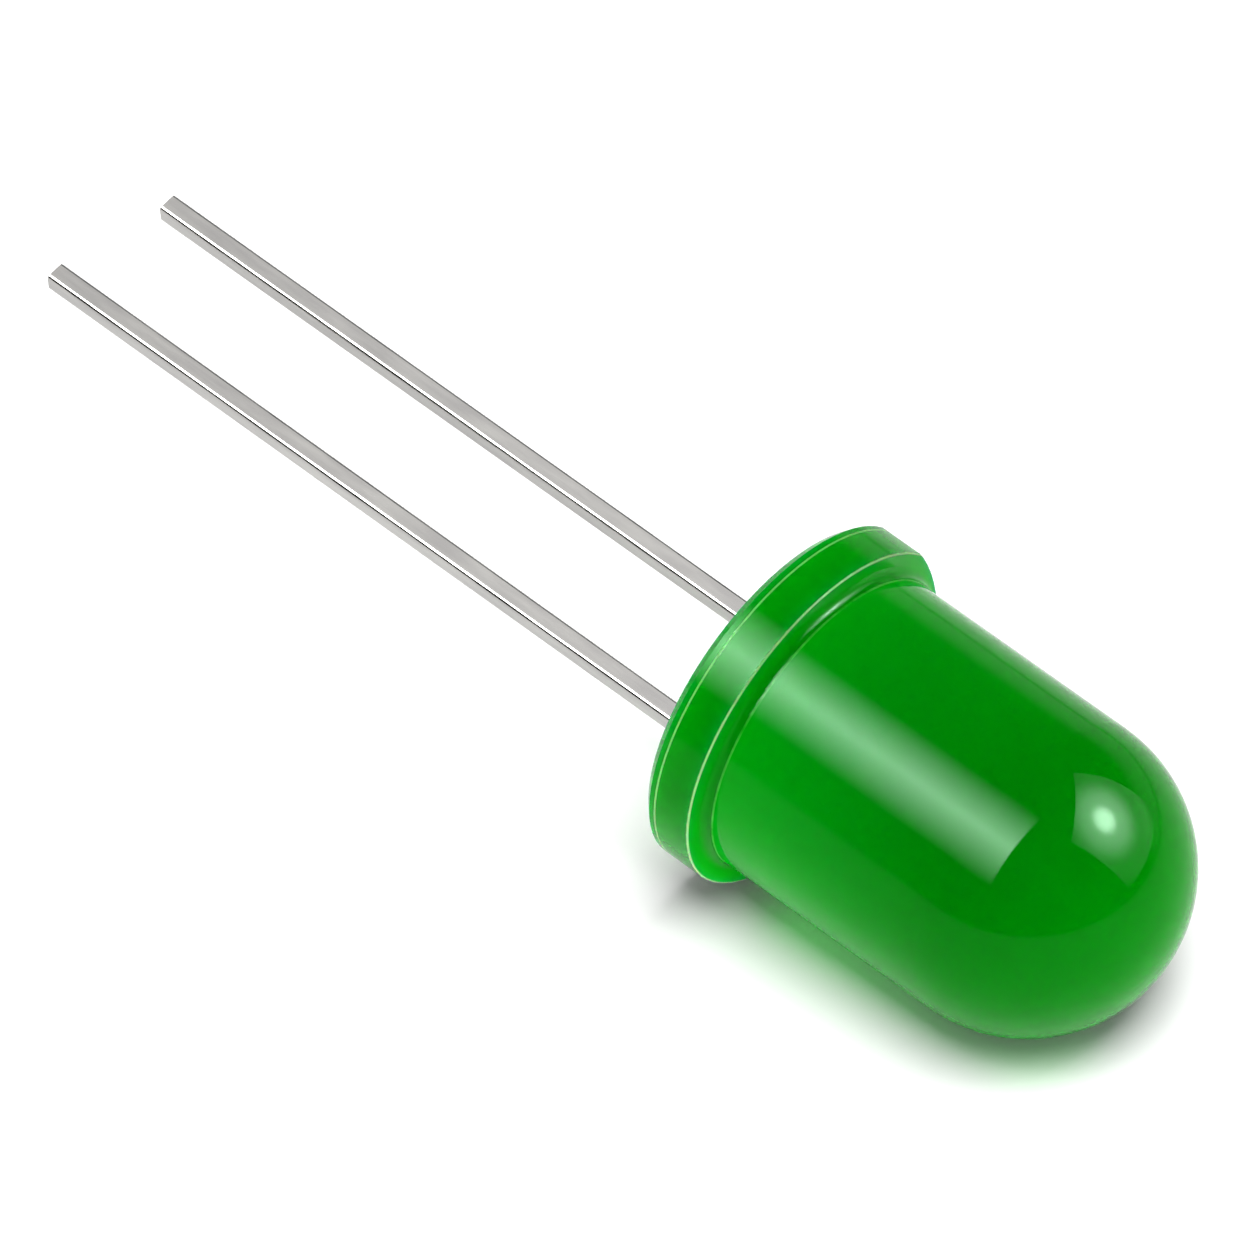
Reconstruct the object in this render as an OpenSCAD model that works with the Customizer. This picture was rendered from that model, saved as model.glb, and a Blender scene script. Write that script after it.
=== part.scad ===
// Through-hole indicator lamp: a moulded epoxy lens round a stamped frame of two leads.
// Each piece is drawn upright, with the seat plane at z = 0, the lens above it and the leads below.
// The sheet of the frame stands in the YZ plane, with the cathode on +Y. lay_down() then puts the
// lamp on its side, as it comes to rest on a table: nose towards +X, on the flange and the dome.

/* [Lens] */
// Diameter of the barrel and of the dome that closes it
barrel_d = 10; // [9:0.1:10.8]
// Height of the lens from the seat plane to the top of the dome
lens_h = 14.9; // [12.5:0.1:17]
// Diameter of the flange
flange_d = 11.5; // [11.2:0.1:13]
// Thickness of the flange
flange_h = 1.75; // [1.2:0.05:2.4]
// Depth of the flat that marks the cathode's side of the flange
flat_depth = 0.4; // [0.1:0.05:0.45]
// Radius of the flat, which is slightly bowed and so meets the rim at soft corners
flat_bow_r = 9.5; // [8:0.5:40]
// Chamfer round the back edge of the flange
back_chamfer = 0.25; // [0.1:0.05:0.4]
// Radius of the front edge of the flange
rim_round = 0.07; // [0.03:0.01:0.15]
// Radius of the fillet between the barrel and the flange
base_fillet = 0.3; // [0.1:0.02:0.4]
// Radius of the epoxy that wets each lead where it leaves the lens
meniscus_r = 0.4; // [0.2:0.05:0.6]

/* [Leads] */
// Distance between the centre lines of the leads
lead_pitch = 4; // [3.6:0.05:4.4]
// How far the pair of leads sits off the lens's axis, towards the anode
lead_shift = 0.65; // [0.4:0.05:0.9]
// Thickness of the frame's sheet, and width of each lead
lead_w = 0.68; // [0.5:0.01:0.75]
// Radius of the long edges of each lead
lead_edge_r = 0.13; // [0.05:0.01:0.18]
// Length of the cathode's lead below the seat plane
cathode_len = 25.4; // [15:0.1:30]
// How much longer the anode's lead is
anode_extra = 0.9; // [0.5:0.1:2.5]

/* [Inside the lens] */
// Height of the reflector cup's rim above the seat plane
cup_top_z = 7; // [6:0.1:9]
// Outside diameter of the cup
cup_d = 1.6; // [1.4:0.05:1.8]
// Height of the cup's straight side
cup_side_h = 0.6; // [0.5:0.05:0.8]
// Diameter of the reflector at the cup's rim
bowl_d = 1.24; // [1.1:0.02:1.3]
// Diameter of the cup's floor
floor_d = 0.66; // [0.6:0.02:0.8]
// Depth of the reflector
bowl_h = 0.38; // [0.3:0.02:0.44]
// Height of the swaged neck that spreads from the sheet to the cup
neck_h = 0.9; // [0.6:0.1:1.2]
// Height at which both posts start to lean towards the axis
shoulder_z = 2.4; // [2.2:0.1:3]
// Height of the anvil's side under the cup
anvil_side_h = 1.3; // [1:0.1:1.6]
// Gap between the cup and the anode's post
post_gap = 0.65; // [0.4:0.05:0.75]
// Height of the end face of the anode's post
post_end_h = 0.8; // [0.5:0.1:1.2]
// Width of the die
die_w = 0.32; // [0.25:0.01:0.38]
// Thickness of the die
die_h = 0.24; // [0.15:0.01:0.28]
// Diameter of the spot of silver epoxy under the die
attach_d = 0.5; // [0.46:0.01:0.58]
// Thickness of the silver epoxy
attach_h = 0.03; // [0.02:0.01:0.05]
// Diameter of the bond wire
wire_d = 0.04; // [0.03:0.005:0.05]
// Diameter of the wire's ball on the die
ball_d = 0.1; // [0.08:0.01:0.12]
// How high the wire's control points stand above its two ends
wire_loop = 0.75; // [0.5:0.05:1]
// How far from the end of the anode's post the wire lands
wire_landing = 0.25; // [0.15:0.05:0.35]

/* [Pose] */
// Roll of the lamp about its own axis, which lifts the cathode's side
lie_roll = 10; // [-40:1:40]

/* [Hidden] */
$fn = 96;

rim_r = flange_d / 2;
barrel_r = barrel_d / 2;
// Height of the dome's centre, where the barrel ends
dome_z = lens_h - barrel_r;

cathode_y = lead_pitch / 2 - lead_shift;
anode_y = -lead_pitch / 2 - lead_shift;
anode_len = cathode_len + anode_extra;
// The rounded leads run this far into the lens, inside their posts
lead_in = flange_h;
// Where the leads give way to the square posts
post_foot_z = flange_h / 2;

cup_r = cup_d / 2;
cup_base_z = cup_top_z - cup_side_h;
floor_z = cup_top_z - bowl_h;
die_z = floor_z + attach_h;
die_top_z = die_z + die_h;
post_end_y = -cup_r - post_gap;

// The wire's path in the YZ plane is a cubic curve, which leaves the die straight up and lands
// on the post straight down
wire_land_y = post_end_y - wire_landing;
wire_ctrl = [
    [0, die_top_z],
    [0, die_top_z + wire_loop],
    [wire_land_y, cup_top_z + wire_loop],
    [wire_land_y, cup_top_z],
];
wire_steps = 24;
wire_sides = 8;
// The ball takes this many steps at the start of the path
ball_steps = 2;

// The table touches the flange's rounded front edge and the dome. The edge's centre lies at
// radius edge_r and height edge_z, and the line that touches both circles slopes by nose_down.
edge_r = rim_r - rim_round;
edge_z = flange_h - rim_round;
nose_down = acos((barrel_r - rim_round) / norm([edge_r, dome_z - edge_z])) - atan2(dome_z - edge_z, edge_r);
// Height of the seat plane's centre above the table
seat_height = edge_r * cos(nose_down) + edge_z * sin(nose_down) + rim_round;
// Reach of the nose, and of the anode's tip, along the table from the seat plane's centre
nose_x = dome_z * cos(nose_down) + barrel_r;
tip_low = lead_w / 2 * (cos(lie_roll) + abs(sin(lie_roll))) - anode_y * sin(lie_roll);
tip_x = -anode_len * cos(nose_down) - tip_low * sin(nose_down);

module lay_down() {
    translate([-(nose_x + tip_x) / 2, 0, seat_height])
        rotate([0, 90 + nose_down, 0])
            rotate([0, 0, lie_roll])
                children();
}

// Half section of the flange, barrel and dome
module lens_section() {
    polygon([
        [0, 0],
        [rim_r - back_chamfer, 0],
        [rim_r, back_chamfer],
        [rim_r, edge_z],
        [edge_r, flange_h],
        [0, flange_h],
    ]);
    translate([edge_r, edge_z]) circle(rim_round);
    square([barrel_r, dome_z]);
    intersection() {
        translate([0, dome_z]) circle(barrel_r);
        translate([0, flange_h]) square([barrel_r, lens_h]);
    }
    difference() {
        square([barrel_r + base_fillet, flange_h + base_fillet]);
        translate([barrel_r + base_fillet, flange_h + base_fillet]) circle(base_fillet);
    }
}

// What the flat takes off the cathode's side of the flange
module flat_cut() {
    difference() {
        translate([-rim_r, 0, 0]) cube([flange_d, rim_r, flange_h]);
        translate([0, rim_r - flat_depth - flat_bow_r, 0]) cylinder(h = flange_h, r = flat_bow_r);
    }
}

// The cured epoxy climbs a little way down each lead, in a hollow curve
module meniscus() {
    neck_r = lead_w / sqrt(2);
    rotate_extrude()
        difference() {
            translate([0, -meniscus_r]) square([neck_r + meniscus_r, meniscus_r + flange_h / 2]);
            translate([neck_r + meniscus_r, -meniscus_r]) circle(meniscus_r);
        }
}

// One lead below the seat plane: a square bar with rounded long edges, cut off square
module lead_bar(len) {
    flat_w = lead_w - 2 * lead_edge_r;
    translate([0, 0, -len])
        linear_extrude(len + lead_in) {
            square([lead_w, flat_w], center = true);
            square([flat_w, lead_w], center = true);
            for (sx = [-1, 1], sy = [-1, 1]) translate([sx, sy] * flat_w / 2) circle(lead_edge_r);
        }
}

// A flat outline, given as points [y, z], stamped from the frame's sheet
module stamped(points) {
    rotate([90, 0, 90]) linear_extrude(lead_w, center = true) polygon(points);
}

module anode_shape() {
    translate([0, anode_y, 0]) lead_bar(anode_len);
    stamped([
        [anode_y - lead_w / 2, post_foot_z],
        [anode_y + lead_w / 2, post_foot_z],
        [anode_y + lead_w / 2, shoulder_z + anvil_side_h],
        [post_end_y, cup_top_z - post_end_h],
        [post_end_y, cup_top_z],
        [anode_y - lead_w / 2, cup_top_z],
    ]);
}

// The anvil leans from the lead to the lens's axis, where the sheet is swaged out into the cup
module cathode_shape() {
    translate([0, cathode_y, 0]) lead_bar(cathode_len);
    stamped([
        [cathode_y - lead_w / 2, post_foot_z],
        [cathode_y + lead_w / 2, post_foot_z],
        [cathode_y + lead_w / 2, cup_base_z - neck_h],
        [cup_r / 2, cup_base_z],
        [-cup_r / 2, cup_base_z],
        [-cup_r, cup_base_z - neck_h],
        [-cup_r, cup_base_z - anvil_side_h],
        [cathode_y - lead_w / 2, shoulder_z],
    ]);
    difference() {
        union() {
            translate([0, 0, cup_base_z - neck_h]) cylinder(h = neck_h, r1 = lead_w / 2, r2 = cup_r);
            translate([0, 0, cup_base_z]) cylinder(h = cup_side_h, r = cup_r);
        }
        bowl();
    }
}

// The conical reflector, carried on past the rim at the same slope
module bowl() {
    over = bowl_h / 2;
    slope = (bowl_d - floor_d) / 2 / bowl_h;
    translate([0, 0, floor_z])
        cylinder(h = bowl_h + over, r1 = floor_d / 2, r2 = bowl_d / 2 + slope * over);
}

module attach_shape() {
    translate([0, 0, floor_z]) cylinder(h = attach_h, d = attach_d);
}

module chip_shape() {
    translate([-die_w / 2, -die_w / 2, die_z]) cube([die_w, die_w, die_h]);
}

function curve(p, t) =
    pow(1 - t, 3) * p[0] + 3 * t * pow(1 - t, 2) * p[1] + 3 * t * t * (1 - t) * p[2] + pow(t, 3) * p[3];
function curve_dir(p, t) =
    let (d = pow(1 - t, 2) * (p[1] - p[0]) + 2 * t * (1 - t) * (p[2] - p[1]) + t * t * (p[3] - p[2])) d / norm(d);
// The wire's radius at each step: the ball first, then the drawn wire
function wire_r(i) = (i < ball_steps ? ball_d : wire_d) / 2;

// A tube swept along the wire's path, ring by ring, with flat ends on the die and the post
module wire_shape() {
    rings = [
        for (i = [0 : wire_steps])
            let (c = curve(wire_ctrl, i / wire_steps), d = curve_dir(wire_ctrl, i / wire_steps))
                for (k = [0 : wire_sides - 1])
                    let (a = 360 * k / wire_sides, u = wire_r(i) * cos(a), v = wire_r(i) * sin(a))
                        [u, c[0] + v * d[1], c[1] - v * d[0]]
    ];
    sides = [
        for (i = [0 : wire_steps - 1], k = [0 : wire_sides - 1])
            let (n = (k + 1) % wire_sides, a = i * wire_sides, b = a + wire_sides)
                each [[a + k, b + k, b + n], [a + k, b + n, a + n]]
    ];
    start = [for (k = [0 : wire_sides - 1]) k];
    end = [for (k = [wire_sides - 1 : -1 : 0]) wire_steps * wire_sides + k];
    polyhedron(rings, concat([start, end], sides));
}

module lens_body() {
    lay_down() color([0.05, 0.6, 0.1, 0.75])
        difference() {
            union() {
                rotate_extrude() lens_section();
                for (y = [anode_y, cathode_y]) translate([0, y, 0]) meniscus();
            }
            flat_cut();
            anode_shape();
            cathode_shape();
            attach_shape();
            chip_shape();
            wire_shape();
        }
}

module anode_lead() {
    lay_down() color([0.75, 0.74, 0.72]) anode_shape();
}

module cathode_lead() {
    lay_down() color([0.75, 0.74, 0.72]) cathode_shape();
}

module led_chip() {
    lay_down() color([0.75, 0.62, 0.2]) chip_shape();
}

module die_attach() {
    lay_down() color([0.6, 0.6, 0.6]) attach_shape();
}

module bond_wire() {
    lay_down() color([0.95, 0.75, 0.25]) wire_shape();
}

lens_body();
anode_lead();
cathode_lead();
led_chip();
die_attach();
bond_wire();
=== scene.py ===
import math

import bpy
from mathutils import Matrix, Vector

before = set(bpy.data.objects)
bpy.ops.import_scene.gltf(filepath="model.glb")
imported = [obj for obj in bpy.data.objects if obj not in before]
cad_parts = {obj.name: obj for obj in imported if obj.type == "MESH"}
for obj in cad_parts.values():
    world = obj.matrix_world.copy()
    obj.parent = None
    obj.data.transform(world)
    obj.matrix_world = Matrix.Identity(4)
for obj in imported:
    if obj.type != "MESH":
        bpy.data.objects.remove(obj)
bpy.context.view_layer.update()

scene = bpy.context.scene
mm = 0.001


# Small helpers for the node trees. An input is a number, a colour or another node's output.
def addNode(tree, kind, inputs=None, **settings):
    node = tree.nodes.new(kind)
    for key, value in settings.items():
        setattr(node, key, value)
    for key, value in (inputs or {}).items():
        if isinstance(value, bpy.types.NodeSocket):
            tree.links.new(value, node.inputs[key])
        else:
            node.inputs[key].default_value = value
    return node


def calc(tree, operation, *values, clamp=False):
    node = addNode(tree, "ShaderNodeMath", dict(enumerate(values)), operation=operation,
                   use_clamp=clamp)
    return node.outputs[0]


def times(tree, value, *more):
    for other in more:
        value = calc(tree, "MULTIPLY", value, other)
    return value


def vectorCalc(tree, operation, *values):
    node = addNode(tree, "ShaderNodeVectorMath", dict(enumerate(values)), operation=operation)
    return node.outputs["Value" if operation == "DOT_PRODUCT" else "Vector"]


def fade(tree, value, start, end):  # 0 at start, 1 at end, smooth between
    node = addNode(tree, "ShaderNodeMapRange",
                   {"Value": value, "From Min": start, "From Max": end},
                   interpolation_type="SMOOTHSTEP")
    return node.outputs["Result"]


def band(tree, value, risesFrom, risesTo, fallsFrom, fallsTo):
    return times(tree, fade(tree, value, risesFrom, risesTo), fade(tree, value, fallsTo, fallsFrom))


def mix(tree, factor, a, b, kind="RGBA"):
    first, out = {"FLOAT": (2, 0), "VECTOR": (4, 1), "RGBA": (6, 2)}[kind]  # the node's sockets
    node = addNode(tree, "ShaderNodeMix", {0: factor, first: a, first + 1: b}, data_type=kind)
    return node.outputs[out]


def addBump(tree, height, distance, **more):
    node = addNode(tree, "ShaderNodeBump",
                   {"Height": height, "Strength": 1.0, "Distance": distance * mm, **more})
    return node.outputs[0]


def newMaterial(name):
    mat = bpy.data.materials.new(name)
    mat.use_nodes = True
    mat.node_tree.nodes.clear()
    return mat, mat.node_tree


def finishMaterial(tree, inputs, **settings):
    shader = addNode(tree, "ShaderNodeBsdfPrincipled", inputs, **settings)
    addNode(tree, "ShaderNodeOutputMaterial", {"Surface": shader.outputs["BSDF"]})


def dress(name, mat):
    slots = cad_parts[name].data.materials
    slots.clear()
    slots.append(mat)


def newGroup(name, inputs, outputs):  # an input given as None is a vector, a number is a value
    group = bpy.data.node_groups.new(name, "ShaderNodeTree")
    for key, value in inputs.items():
        kind = "NodeSocketVector" if value is None else "NodeSocketFloat"
        socket = group.interface.new_socket(key, in_out="INPUT", socket_type=kind)
        if value is not None:
            socket.default_value = value
    for key in outputs:
        group.interface.new_socket(key, in_out="OUTPUT", socket_type="NodeSocketFloat")
    given = addNode(group, "NodeGroupInput").outputs
    return group, given, addNode(group, "NodeGroupOutput").inputs


# The camera looks at the middle of the lamp from far away, so that its lines stay parallel
camera = {
    "target": (0.14, -0.164, 4.787),
    "azimuth": 41.458,
    "elevation": 45.365,
    "distance": 500,
    "sensor": 36,
    "focal": 485.02,
    "near": 10,
    "far": 10000,
}


def toward(azimuth, elevation):  # azimuth 0 is the -Y side, 90 the nose's side
    a, e = math.radians(azimuth), math.radians(elevation)
    return Vector((math.cos(e) * math.sin(a), -math.cos(e) * math.cos(a), math.sin(e)))


back = toward(camera["azimuth"], camera["elevation"])
right = Vector((0, 0, 1)).cross(back).normalized()
camData = bpy.data.cameras.new("camera")
camData.sensor_width = camera["sensor"]
camData.lens = camera["focal"]
camData.clip_start = camera["near"] * mm
camData.clip_end = camera["far"] * mm
camObj = bpy.data.objects.new("camera", camData)
camPlace = (Vector(camera["target"]) + back * camera["distance"]) * mm
camTurn = Matrix((right, back.cross(right), back)).transposed().to_4x4()
camObj.matrix_world = Matrix.Translation(camPlace) @ camTurn
scene.collection.objects.link(camObj)
scene.camera = camObj
print("camera ready")

# The lamp's own coordinates in millimetres: z along its axis from the seat plane, cathode on +y
lamp = {
    "seat": (5.7056, 0, 5.8764),
    "noseDown": 5.079,
    "roll": 10,
    "barrelMiddle": (11.5, 0, 5.3),  # in the scene's millimetres, for aiming the lights
}
lampTurn = (Matrix.Rotation(math.radians(90 + lamp["noseDown"]), 3, "Y")
            @ Matrix.Rotation(math.radians(lamp["roll"]), 3, "Z"))
axis = lampTurn @ Vector((0, 0, 1))


def objectCoords(tree):
    return addNode(tree, "ShaderNodeTexCoord").outputs["Object"]


def lampCoords(tree):
    node = addNode(tree, "ShaderNodeMapping", {
        "Vector": objectCoords(tree),
        "Location": Vector(lamp["seat"]) * mm,
        "Rotation": lampTurn.to_euler("XYZ"),
        "Scale": (mm, mm, mm),
    }, vector_type="TEXTURE")
    return node.outputs[0]


# Fine grain: noise stretched by a scale along each axis, spread between two values
noise = {
    "detail": 3.0,
    "usedRange": (0.3, 0.7),
}
grain, given, result = newGroup(
    "fineGrain", {"Vector": None, "Stretch": None, "Low": 0.0, "High": 1.0}, ["Value"])
stretched = vectorCalc(grain, "MULTIPLY", given["Vector"], given["Stretch"])
raw = addNode(grain, "ShaderNodeTexNoise",
              {"Vector": stretched, "Scale": 1.0, "Detail": noise["detail"]})
low, high = noise["usedRange"]
spread = addNode(grain, "ShaderNodeMapRange", {
    "Value": raw.outputs[0], "From Min": low, "From Max": high,
    "To Min": given["Low"], "To Max": given["High"]})
grain.links.new(spread.outputs[0], result["Value"])

# Rings: how far a point stands from the lamp's axis, and how high above the seat plane
rings, given, result = newGroup("lampRings", {"Vector": None}, ["Radius", "Height"])
parts = addNode(rings, "ShaderNodeSeparateXYZ", {0: given["Vector"]}).outputs
squares = [times(rings, parts[key], parts[key]) for key in ("X", "Y")]
rings.links.new(calc(rings, "SQRT", calc(rings, "ADD", *squares)), result["Radius"])
rings.links.new(parts["Z"], result["Height"])


def addGrain(tree, coords, stretch, low=0.0, high=1.0):
    node = addNode(tree, "ShaderNodeGroup", {
        "Vector": coords, "Stretch": stretch, "Low": low, "High": high}, node_tree=grain)
    return node.outputs["Value"]


def addRings(tree, coords):
    node = addNode(tree, "ShaderNodeGroup", {"Vector": coords}, node_tree=rings)
    return node.outputs["Radius"], node.outputs["Height"]


# The lens: deep green epoxy. Radii and heights are in the lamp's own coordinates.
lens = {
    # the next two: a painted glow at the foot and painted shade toward the nose
    "foot": (0.0, 0.46, 0.008, 1),
    "nose": (0.0, 0.10, 0.002, 1),
    # the next two: darker colours painted as shade on the flange and on its front ring
    "flange": (0.0, 0.035, 0.002, 1),
    "ring": (0.0, 0.16, 0.005, 1),
    "cloudy": (0.0, 0.26, 0.01, 1),
    # the next two: pale colours for the painted highlights on the rims and round the fillet's foot
    "edge": (0.45, 1.0, 0.28, 1),
    "footHighlightColor": (0.25, 0.9, 0.2, 1),
    "cloud": (0.35, 0.35, 0.2),
    "cloudShare": 0.15,
    "noseShadeFade": (2.5, 11.0),
    "flangeTop": (2.08, 1.96),
    "flangeRim": (4.9, 5.0),
    "scatter": (0.05, 1.0, 0.06),
    "depth": 9.0,
    "ringDepth": 5.0,
    "ringStart": (1.66, 1.72),
    "forward": 0.8,
    "ior": 1.5,
    "specular": 0.08,
    "tint": (0.6, 1.0, 0.7, 1),
    "rough": (0.02, 0.05),
    "smear": (0.5, 0.5, 0.15),
    "ripple": (0.4, 0.4, 0.12),
    "rippleHeight": 0.002,
    "domeMiddle": 9.9,
    "tipBlend": (14.75, 14.85),
    "frontRadius": (5.68, 5.72),
    "frontHeight": (1.68, 1.72),
    "backHeight": (0.42, 0.45, 0.48, 0.51),
    "backShare": 0.7,
    "footHeight": (2.0, 2.03, 2.07, 2.10),
    "footBreaks": (1.2, 1.2, 0.2),
    "footShare": 0.8,
}
mat, tree = newMaterial("lens_epoxy")
coords = lampCoords(tree)
radius, height = addRings(tree, coords)

# The colour is painted lighter at the foot, a painted glow, and deeper toward the nose, painted
# shade. The flange and its front ring have their own darker colours, painted shade too.
body = mix(tree, fade(tree, height, *lens["noseShadeFade"]), lens["foot"], lens["nose"])
inFlange = times(tree, fade(tree, height, *lens["flangeTop"]),
                 fade(tree, radius, *lens["flangeRim"]))
body = mix(tree, inFlange, body, lens["flange"])
onRing = times(tree, inFlange, fade(tree, height, *lens["ringStart"]))
body = mix(tree, onRing, body, lens["ring"])
depth = calc(tree, "MULTIPLY_ADD", onRing, (lens["ringDepth"] - lens["depth"]) * mm,
             lens["depth"] * mm)
cloud = times(tree, addGrain(tree, coords, lens["cloud"]), lens["cloudShare"])
body = mix(tree, cloud, body, lens["cloudy"])

# Three fine painted highlights, pale lines: on the front rim, near the flange's back, and round the
# fillet's foot
frontRimHighlight = times(tree, fade(tree, radius, *lens["frontRadius"]),
                 fade(tree, height, *lens["frontHeight"]))
backRimHighlight = times(tree, band(tree, height, *lens["backHeight"]), lens["backShare"])
footHighlight = times(tree, band(tree, height, *lens["footHeight"]),
                addGrain(tree, coords, lens["footBreaks"], high=lens["footShare"]))
body = mix(tree, footHighlight, body, lens["footHighlightColor"])
color = mix(tree, calc(tree, "MAXIMUM", frontRimHighlight, backRimHighlight), body, lens["edge"])

# Round its tip the dome mirrors as a true ball, so that the mesh's pole doesn't show
domeMiddle = (Vector(lamp["seat"]) + lens["domeMiddle"] * axis) * mm
fromMiddle = vectorCalc(tree, "SUBTRACT", objectCoords(tree), domeMiddle)
ballNormal = vectorCalc(tree, "NORMALIZE", fromMiddle)
meshNormal = addNode(tree, "ShaderNodeNewGeometry").outputs["Normal"]
normal = mix(tree, fade(tree, height, *lens["tipBlend"]), meshNormal, ballNormal, "VECTOR")
ripple = addGrain(tree, coords, lens["ripple"])
finishMaterial(tree, {
    "Base Color": color,
    "Roughness": addGrain(tree, coords, lens["smear"], *lens["rough"]),
    "Normal": addBump(tree, ripple, lens["rippleHeight"], Normal=normal),
    "Subsurface Weight": 1.0,
    "Subsurface Radius": lens["scatter"],
    "Subsurface Scale": depth,
    "Subsurface IOR": lens["ior"],
    "Subsurface Anisotropy": lens["forward"],
    "IOR": lens["ior"],
    "Specular IOR Level": lens["specular"],
    "Specular Tint": lens["tint"],
}, subsurface_method="RANDOM_WALK_SKIN")
dress("lens_body", mat)
print("lens ready")

# Drawn and tinned steel: fine lines along the leads, and the bare steel where they were cut off
leads = {
    "tin": (0.53, 0.52, 0.50, 1),
    "dull": (0.44, 0.43, 0.42, 1),
    "cut": (0.36, 0.35, 0.34, 1),
    "cutFacing": (0.8, 0.95),
    "patches": (2.5, 2.5, 0.5),
    "lines": (14, 14, 0.25),
    "lineHeight": 0.0015,
    "rough": (0.08, 0.15),
    "cutRough": 0.42,
}
mat, tree = newMaterial("lead_tin")
coords = lampCoords(tree)
meshNormal = addNode(tree, "ShaderNodeNewGeometry").outputs["Normal"]
cutEnd = fade(tree, vectorCalc(tree, "DOT_PRODUCT", meshNormal, -axis), *leads["cutFacing"])
tin = mix(tree, addGrain(tree, coords, leads["patches"]), leads["tin"], leads["dull"])
lines = addGrain(tree, coords, leads["lines"])
low, high = leads["rough"]
rough = calc(tree, "ADD", addGrain(tree, coords, leads["lines"], low, high),
             times(tree, cutEnd, leads["cutRough"] - high))
finishMaterial(tree, {
    "Base Color": mix(tree, cutEnd, tin, leads["cut"]),
    "Metallic": 1.0,
    "Roughness": rough,
    "Normal": addBump(tree, lines, leads["lineHeight"]),
})
dress("anode_lead", mat)
dress("cathode_lead", mat)
print("leads ready")

# Inside the lens: the sawn die with its round gold pad, the silver epoxy under it and the wire
inner = {
    "die": (0.42, 0.50, 0.06, 1),
    "dieDark": (0.30, 0.36, 0.04, 1),
    "dieRough": (0.2, 0.35),
    "dieIor": 2.4,
    "pad": (0.95, 0.68, 0.30, 1),
    "padEdge": (0.065, 0.06),
    "topHeight": (6.85, 6.88),
    "sawMarks": (6, 6, 90),
    "sawDepth": 0.002,
    "silver": (0.66, 0.65, 0.62, 1),
    "resin": (0.42, 0.41, 0.38, 1),
    "silverRough": (0.55, 0.35),
    "flakes": (60, 60, 60),
    "flakeHeight": 0.003,
    "gold": (0.95, 0.68, 0.30, 1),
    "goldDark": (0.82, 0.55, 0.22, 1),
    "goldRough": (0.18, 0.3),
    "wireLines": (120, 120, 120),
}
mat, tree = newMaterial("die_crystal")
coords = lampCoords(tree)
radius, height = addRings(tree, coords)
marks = addGrain(tree, coords, inner["sawMarks"])
pad = times(tree, fade(tree, radius, *inner["padEdge"]), fade(tree, height, *inner["topHeight"]))
crystal = mix(tree, marks, inner["die"], inner["dieDark"])
finishMaterial(tree, {
    "Base Color": mix(tree, pad, crystal, inner["pad"]),
    "Metallic": pad,
    "Roughness": addGrain(tree, coords, inner["sawMarks"], *inner["dieRough"]),
    "Normal": addBump(tree, marks, inner["sawDepth"]),
    "IOR": inner["dieIor"],
})
dress("led_chip", mat)

mat, tree = newMaterial("silver_epoxy")
coords = lampCoords(tree)
flakes = addGrain(tree, coords, inner["flakes"])
finishMaterial(tree, {
    "Base Color": mix(tree, flakes, inner["resin"], inner["silver"]),
    "Metallic": flakes,
    "Roughness": addGrain(tree, coords, inner["flakes"], *inner["silverRough"]),
    "Normal": addBump(tree, flakes, inner["flakeHeight"]),
})
dress("die_attach", mat)

mat, tree = newMaterial("gold_wire")
coords = lampCoords(tree)
lines = addGrain(tree, coords, inner["wireLines"])
finishMaterial(tree, {
    "Base Color": mix(tree, lines, inner["gold"], inner["goldDark"]),
    "Metallic": 1.0,
    "Roughness": addGrain(tree, coords, inner["wireLines"], *inner["goldRough"]),
})
dress("bond_wire", mat)
print("inner pieces ready")

# A white sweep: a floor that keeps the lamp's shadow, and the sky of a white tent
studio = {
    "floorSize": 3000,
    "floor": 0.8,
    "floorShown": 1.0,
    "floorLift": 0.03,
    "tent": 0.3,
    "tentShown": 1.0,
    "dark": 0.05,
    "sweep": 0.9,
    "sweepAway": 205,
    "sweepWidth": (0.25, 0.6),
    "sweepTop": (0.38, 0.18),
}
half = studio["floorSize"] * mm
corners = [(-half, -half, 0), (half, -half, 0), (half, half, 0), (-half, half, 0)]
floorMesh = bpy.data.meshes.new("floor")
floorMesh.from_pydata(corners, [], [(0, 1, 2, 3)])
floor = bpy.data.objects.new("floor", floorMesh)
scene.collection.objects.link(floor)
mat, tree = newMaterial("white_floor")
seen = addNode(tree, "ShaderNodeLightPath").outputs["Is Camera Ray"]
paper, shown = ((studio[key],) * 3 + (1,) for key in ("floor", "floorShown"))
paint = addNode(tree, "ShaderNodeBsdfDiffuse", {"Color": mix(tree, seen, paper, shown)})
lift = addNode(tree, "ShaderNodeEmission", {"Strength": times(tree, seen, studio["floorLift"])})
both = addNode(tree, "ShaderNodeAddShader", {0: paint.outputs[0], 1: lift.outputs[0]})
addNode(tree, "ShaderNodeOutputMaterial", {"Surface": both.outputs[0]})
floorMesh.materials.append(mat)

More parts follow.
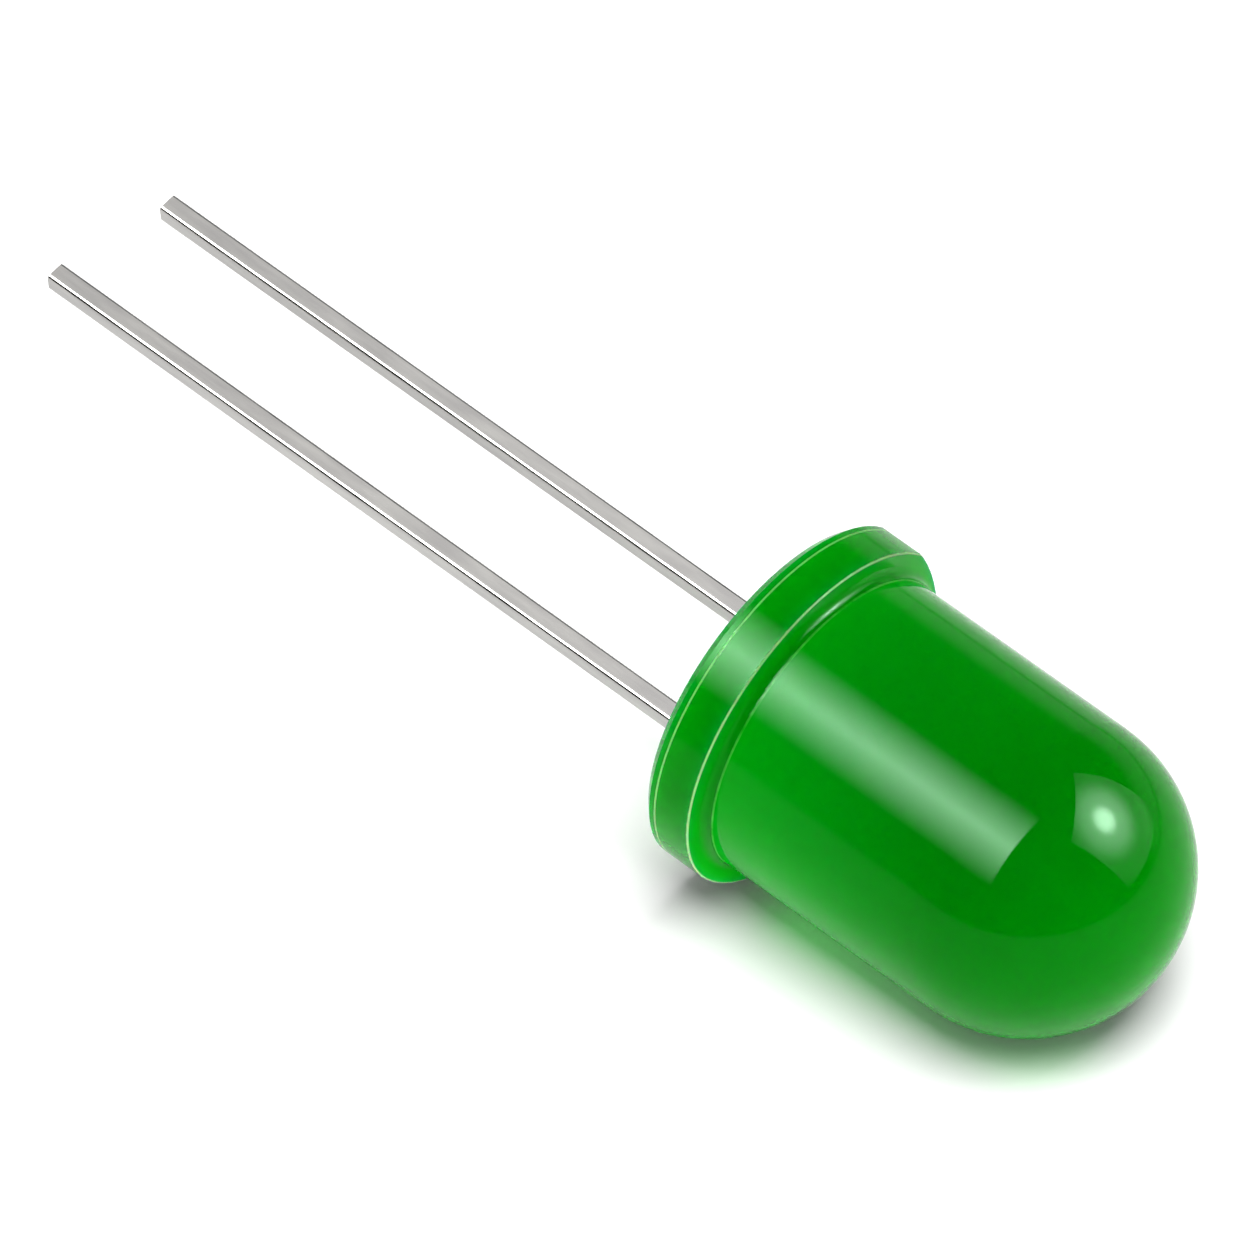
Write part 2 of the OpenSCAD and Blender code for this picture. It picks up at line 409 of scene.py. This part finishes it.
# The world is the tent's even light. Mirrors see the white sweep behind the lamp and the dark
# room in front.
world = bpy.data.worlds.new("world")
world.use_nodes = True
scene.world = world
tree = world.node_tree
tree.nodes.clear()
path = addNode(tree, "ShaderNodeLightPath")
direction = addNode(tree, "ShaderNodeTexCoord").outputs["Generated"]
away = vectorCalc(tree, "DOT_PRODUCT", direction, toward(studio["sweepAway"], 0))
rise = addNode(tree, "ShaderNodeSeparateXYZ", {0: direction}).outputs["Z"]
behind = times(tree, fade(tree, away, *studio["sweepWidth"]), fade(tree, rise, *studio["sweepTop"]))
mirrored = calc(tree, "ADD", times(tree, behind, studio["sweep"]), studio["dark"])
byGloss = mix(tree, path.outputs["Is Glossy Ray"], studio["tent"], mirrored, "FLOAT")
byCamera = mix(tree, path.outputs["Is Camera Ray"], byGloss, studio["tentShown"], "FLOAT")
sky = addNode(tree, "ShaderNodeBackground", {"Strength": byCamera})
addNode(tree, "ShaderNodeOutputWorld", {"Surface": sky.outputs[0]})

# overhead lights the floor, and softener the lens from above
# underglow is the light that the lens would let through onto the floor beside it
# streak is the long box up on the left. Its inner edge is curved, to end the streak where the
# dome begins, and it is brightest along its middle.
# window is the box beyond the nose that the dome shows, with a hot centre
# leadTop, leadStrip and leadEnd are what the leads' faces, rounded edges and far ends show
lights = {
    "overhead": {
        "distance": 300, "middle": (58, 74.5), "size": (180, 225), "radiance": 10.2,
    },
    "softener": {
        "distance": 300, "middle": (41.5, 75), "size": (190, 190), "radiance": 0.8,
    },
    "underglow": {
        "centre": (13.6, -1.9, 0.9), "size": (11, 3), "radiance": 0.28, "color": (0.02, 1, 0.05),
    },
    "streak": {
        "distance": 150, "middle": (-42, 50), "size": (460, 330), "radiance": 55,
        "start": (0.16, 0.14), "end": (-0.9, -0.6), "bottom": (-25, 30), "top": (-84, 69),
        "profile": 1.3,
    },
    "window": {
        "distance": 150, "middle": (134.2, 33), "size": (155, 150), "radiance": 140,
        "hot": (131, 41), "core": (0.98, 1.0), "corePower": 2, "coreShare": 0.55,
        "halo": (0.8, 1.0), "haloPower": 5, "haloShare": 0.22,
        "pane": (0.74, 0.86), "paneShare": 0.02,
    },
    "leadTop": {
        "centre": (-55, 25, 100), "size": (130, 140), "radiance": 1.15,
        "fadeX": (-100, -10), "dimEnd": 0.55,
    },
    "leadStrip": {
        "distance": 150, "middle": (-42, 50), "size": (460, 330), "radiance": 10, "low": 0.7,
        "start": (-0.2, -0.3), "end": (-0.82, -0.72), "bottom": (-25, 42), "top": (-84, 69),
        "rim": (1.0, 0.9),
    },
    "leadEnd": {
        "centre": (-150, 0, 60), "size": (220, 140), "radiance": 0.4,
    },
}
barrelMiddle = Vector(lamp["barrelMiddle"])
floorOnly = [floor]
lensOnly = [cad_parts["lens_body"]]
leadsOnly = [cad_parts["anode_lead"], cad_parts["cathode_lead"]]
side = axis.cross((0, 0, 1)).normalized()
up = side.cross(axis)


# A box is either light that falls on the pieces in `only`, or a shape that they mirror
def softBox(name, only, place, facing, along, diffuse=False):
    values = lights[name]
    data = bpy.data.lights.new(name, "AREA")
    data.shape = "RECTANGLE"
    data.color = values.get("color", (1, 1, 1))
    data.size, data.size_y = (length * mm for length in values["size"])
    data.energy = values["radiance"] * math.pi * data.size * data.size_y
    z = -Vector(facing).normalized()
    x = (Vector(along) - Vector(along).dot(z) * z).normalized()
    turn = Matrix((x, z.cross(x), z)).transposed().to_4x4()
    obj = bpy.data.objects.new(name, data)
    obj.matrix_world = Matrix.Translation(Vector(place) * mm) @ turn
    obj.visible_camera = False
    obj.visible_diffuse = diffuse
    obj.visible_glossy = not diffuse
    obj.light_linking.receiver_collection = bpy.data.collections.new(name)
    for piece in only:
        obj.light_linking.receiver_collection.objects.link(piece)
    scene.collection.objects.link(obj)
    return data


def facingBarrel(name, only, along=axis, diffuse=False):
    middle = toward(*lights[name]["middle"])
    place = barrelMiddle + lights[name]["distance"] * middle
    return softBox(name, only, place, -middle, along, diffuse)


def lightNodes(data):
    data.use_nodes = True
    data.node_tree.nodes.clear()
    place = addNode(data.node_tree, "ShaderNodeNewGeometry").outputs["Position"]
    return data.node_tree, place


def fromBarrel(tree, place):  # the direction in which the barrel's middle sees a place on the box
    return vectorCalc(tree, "NORMALIZE", vectorCalc(tree, "SUBTRACT", place, barrelMiddle * mm))


def aroundAxis(tree, place, bottom, top):
    unit = fromBarrel(tree, place)
    alongAxis, upward, sideways = (vectorCalc(tree, "DOT_PRODUCT", unit, v)
                                   for v in (axis, up, side))
    angle = calc(tree, "ARCTAN2", upward, sideways)
    ends = [math.atan2(toward(*v).dot(up), toward(*v).dot(side)) for v in (bottom, top)]
    away = calc(tree, "ABSOLUTE", calc(tree, "SUBTRACT", angle, sum(ends) / 2))
    # how far along the lamp's axis, and how far from the strip's middle line
    return alongAxis, calc(tree, "DIVIDE", away, abs(ends[1] - ends[0]) / 2)


def showLight(tree, strength):
    glow = addNode(tree, "ShaderNodeEmission", {"Strength": strength})
    addNode(tree, "ShaderNodeOutputLight", {"Surface": glow.outputs[0]})


facingBarrel("overhead", floorOnly, diffuse=True)
facingBarrel("softener", lensOnly, diffuse=True)
values = lights["underglow"]
data = softBox("underglow", floorOnly, values["centre"], (0, 0, -1), (1, 0, 0), diffuse=True)
data.use_shadow = False

values = lights["streak"]
tree, place = lightNodes(facingBarrel("streak", lensOnly))
alongAxis, across = aroundAxis(tree, place, values["bottom"], values["top"])
inside = times(tree, fade(tree, alongAxis, *values["start"]),
               fade(tree, alongAxis, *values["end"]))
profile = calc(tree, "POWER", calc(tree, "SUBTRACT", 1.0, across, clamp=True), values["profile"])
showLight(tree, times(tree, inside, profile))

values = lights["leadStrip"]
tree, place = lightNodes(facingBarrel("leadStrip", leadsOnly))
alongAxis, across = aroundAxis(tree, place, values["bottom"], values["top"])
inside = times(tree, fade(tree, alongAxis, *values["start"]),
               fade(tree, alongAxis, *values["end"]))
dim = values["low"] / values["radiance"]
bright = calc(tree, "MULTIPLY_ADD", inside, 1 - dim, dim)
showLight(tree, times(tree, fade(tree, across, *values["rim"]), bright))

values = lights["window"]
tree, place = lightNodes(facingBarrel("window", lensOnly, (0, 0, 1)))
near = vectorCalc(tree, "DOT_PRODUCT", fromBarrel(tree, place), toward(*values["hot"]))
core = calc(tree, "POWER", fade(tree, near, *values["core"]), values["corePower"])
halo = calc(tree, "POWER", fade(tree, near, *values["halo"]), values["haloPower"])
pane = times(tree, fade(tree, near, *values["pane"]), values["paneShare"])
halo = calc(tree, "MULTIPLY_ADD", halo, values["haloShare"], pane)
showLight(tree, calc(tree, "MULTIPLY_ADD", core, values["coreShare"], halo))

values = lights["leadTop"]
tree, place = lightNodes(softBox("leadTop", leadsOnly, values["centre"], (0, 0, -1), (1, 0, 0)))
alongX = addNode(tree, "ShaderNodeSeparateXYZ", {0: place}).outputs["X"]
start, end = (x * mm for x in values["fadeX"])
dim = values["dimEnd"]
showLight(tree, calc(tree, "MULTIPLY_ADD", fade(tree, alongX, start, end), 1 - dim, dim))

softBox("leadEnd", leadsOnly, lights["leadEnd"]["centre"], (1, 0, 0), (0, 1, 0))
print("light ready")

scene.view_settings.view_transform = "Standard"
